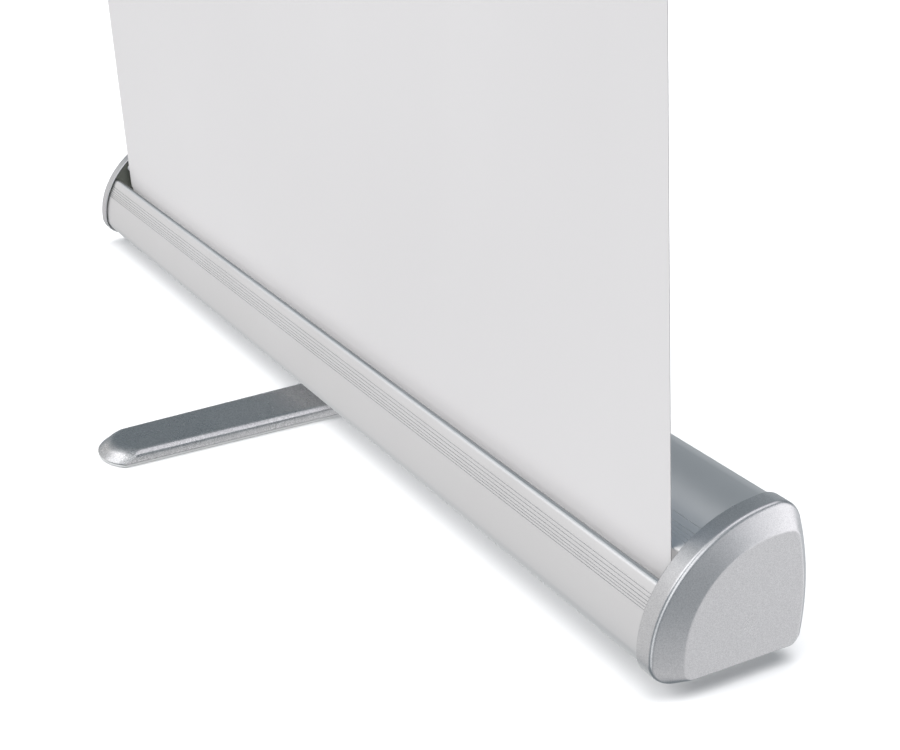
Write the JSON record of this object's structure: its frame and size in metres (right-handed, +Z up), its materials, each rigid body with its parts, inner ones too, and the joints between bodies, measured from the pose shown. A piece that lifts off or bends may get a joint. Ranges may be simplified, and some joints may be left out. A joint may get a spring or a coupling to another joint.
{
  "type": "roll-up banner stand",
  "caption": "Retractable banner stand: aluminium cassette with moulded silver end caps, swing-out foot, sprung roller, blank graphic, telescopic pole and snap top rail.",
  "frame": {"origin": "on the floor, under the middle of the graphic, on the underside of the swing-out foot", "axes": "+Z up, +X along the cassette to the right-hand end seen from the front, and the graphic faces -Y"},
  "size_m": [0.8972, 0.2413, 2.0686],
  "materials": {
    "aluminium": "satin anodised",
    "silver_paint": "metallic silver paint",
    "cast_plate": "satin grey",
    "steel": "zinc plated",
    "black_plastic": "fine texture",
    "graphic_film": "matt blank film",
    "rubber": "matt"
  },
  "bodies": {
    "base": {"base_extrusion": "aluminium", "end_cap_left": "silver_paint", "end_cap_right": "silver_paint", "end_plate_left": "cast_plate", "end_plate_right": "cast_plate", "end_plate_screws": "steel", "end_cap_screws": "steel", "idle_bush": "black_plastic", "shaft_socket": "black_plastic", "spring_shaft": "steel", "spring_hub": "black_plastic", "torsion_spring": "steel", "graphic_panel": "graphic_film", "foot_pivot_bolt": "steel", "foot_washer": "black_plastic", "foot_nut_plate": "steel", "foot_lock_nut": "steel", "foot_stop_pin": "steel", "rubber_feet": "rubber", "rubber_foot_screws": "steel", "pole_socket": "black_plastic", "socket_screw": "steel", "pole_bottom": "aluminium", "pole_bush_lower": "black_plastic", "pole_end_plug": "black_plastic", "lock_collar_lower": "black_plastic", "lock_pin_lower": "steel"},
    "foot": {"foot": "silver_paint", "foot_sole": "rubber"},
    "roller": {"roller_tube": "aluminium", "roller_plug_left": "black_plastic", "roller_plug_right": "black_plastic", "idle_axle": "steel", "wound_graphic": "graphic_film"},
    "pole_middle": {"pole_middle": "aluminium", "pole_bush_upper": "black_plastic", "pole_guide_lower": "black_plastic", "lock_collar_upper": "black_plastic", "lock_pin_upper": "steel"},
    "pole_top": {"pole_top": "aluminium", "pole_guide_upper": "black_plastic", "pole_head": "black_plastic", "rail_body": "aluminium", "rail_end_cap_left": "black_plastic", "rail_end_cap_right": "black_plastic", "rail_hanger": "black_plastic", "rail_hanger_screws": "steel"},
    "lock_lever_lower": {"lock_lever_lower": "black_plastic"},
    "lock_lever_upper": {"lock_lever_upper": "black_plastic"},
    "rail_jaw": {"rail_jaw": "aluminium"}
  },
  "joints": [
    {"name": "foot_swing", "type": "hinge", "parent": "base", "child": "foot", "pos_m": [0.0115, 0.02, 0.005], "axis": [0, 0, 1], "range_deg": [0, 90]},
    {"name": "pole_middle_slide", "type": "slide", "parent": "base", "child": "pole_middle", "axis": [0, 0, 1], "range_m": [-0.59, 0], "deforming": ["graphic_panel"]},
    {"name": "pole_top_slide", "type": "slide", "parent": "pole_middle", "child": "pole_top", "axis": [0, 0, 1], "range_m": [-0.59, 0]},
    {"name": "roller_spin", "type": "hinge", "parent": "base", "child": "roller", "pos_m": [0, 0.018, 0.052], "axis": [1, 0, 0], "range_deg": [0, 3490], "stiffness_Nm_per_rad": 0.003, "springref_deg": 5729.58},
    {"name": "lock_lever_lower_turn", "type": "hinge", "parent": "base", "child": "lock_lever_lower", "pos_m": [0, 0.0693, 0.785], "axis": [0, 0, -1], "range_deg": [0, 105]},
    {"name": "lock_lever_upper_turn", "type": "hinge", "parent": "pole_middle", "child": "lock_lever_upper", "pos_m": [0, 0.0678, 1.415], "axis": [0, 0, -1], "range_deg": [0, 105]},
    {"name": "rail_jaw_open", "type": "hinge", "parent": "pole_top", "child": "rail_jaw", "pos_m": [0, -0.0012, 2.063], "axis": [-1, 0, 0], "range_deg": [0, 75]}
  ],
  "couplings": [
    {"joint": "pole_top_slide", "follows": "pole_middle_slide", "ratio": 1},
    {"joint": "roller_spin", "follows": "pole_middle_slide", "rad_per_m": -103.1}
  ]
}
